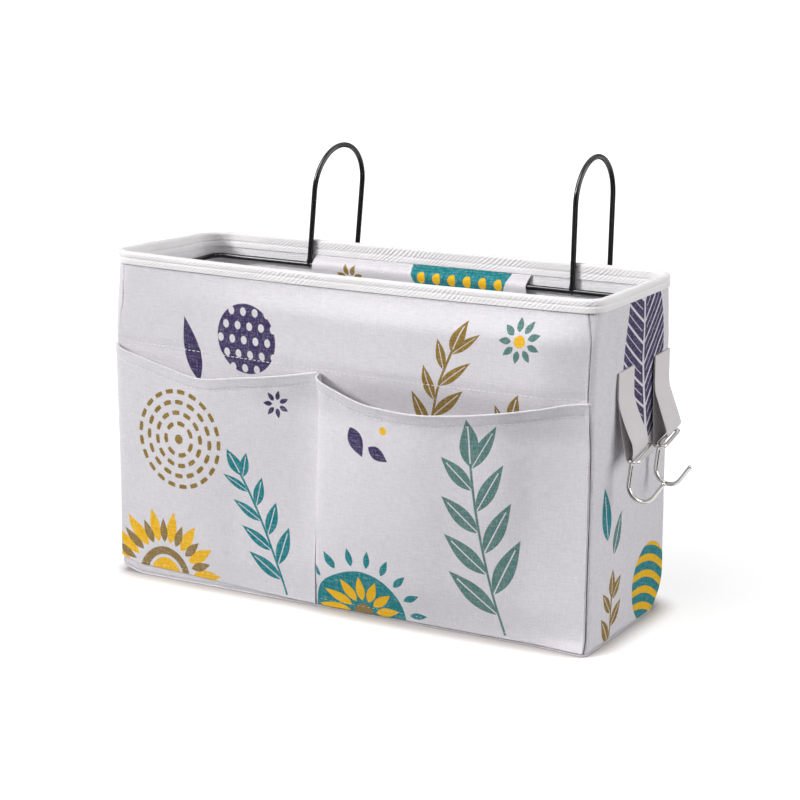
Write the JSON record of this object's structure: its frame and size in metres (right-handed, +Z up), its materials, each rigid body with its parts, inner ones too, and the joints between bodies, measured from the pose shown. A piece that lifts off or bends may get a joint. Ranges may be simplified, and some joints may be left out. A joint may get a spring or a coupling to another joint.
{
  "type": "crib organizer",
  "caption": "Board-stiffened cloth bag with front pockets and a wire frame whose hooks hang it on a crib rail; small wire hooks swing on tape loops at its side.",
  "frame": {"origin": "under the middle of the bag, on the surface that its base stands on", "axes": "+X to the right along the bag's width as seen from the front, -Y out of the front with the pockets, +Z up"},
  "size_m": [0.3548, 0.1749, 0.2627],
  "materials": {
    "printed_cloth": "plain linen weave, printed",
    "lining_cloth": "plain linen weave",
    "tape": "twill tape",
    "board": "raw grey board",
    "coated_wire": "black plastic-dipped, semi-gloss",
    "bright_wire": "bright nickel"
  },
  "bodies": {
    "bag": {"outer_front_panel": "printed_cloth", "front_board": "board", "front_lining": "lining_cloth", "outer_right_panel": "printed_cloth", "right_board": "board", "right_lining": "lining_cloth", "outer_back_panel": "printed_cloth", "back_board": "board", "back_lining": "lining_cloth", "outer_left_panel": "printed_cloth", "left_board": "board", "left_lining": "lining_cloth", "outer_base_panel": "printed_cloth", "base_board": "board", "base_lining": "lining_cloth", "rim_binding": "tape", "left_pocket": "printed_cloth", "right_pocket": "printed_cloth", "hanging_sleeve": "printed_cloth", "support_frame": "coated_wire", "left_rail_hook": "coated_wire", "right_rail_hook": "coated_wire", "front_strap_tab": "tape", "rear_strap_tab": "tape"},
    "front_strap": {"front_strap_loop": "tape"},
    "rear_strap": {"rear_strap_loop": "tape"},
    "front_hook": {"front_side_hook": "bright_wire"},
    "rear_hook": {"rear_side_hook": "bright_wire"}
  },
  "joints": [
    {"name": "front_strap_swing", "type": "hinge", "parent": "bag", "child": "front_strap", "pos_m": [0.1621, -0.0125, 0.1435], "axis": [0, -1, 0], "range_deg": [0, 80]},
    {"name": "front_hook_swing", "type": "hinge", "parent": "front_strap", "child": "front_hook", "pos_m": [0.1691, -0.0125, 0.1092], "axis": [0, -0.9816, -0.1908], "range_deg": [-12, 30]},
    {"name": "rear_strap_swing", "type": "hinge", "parent": "bag", "child": "rear_strap", "pos_m": [0.1621, 0.038, 0.141], "axis": [0, -1, 0], "range_deg": [0, 80]},
    {"name": "rear_hook_swing", "type": "hinge", "parent": "rear_strap", "child": "rear_hook", "pos_m": [0.1639, 0.038, 0.1062], "axis": [0, -0.9816, -0.1908], "range_deg": [-6, 20]}
  ]
}
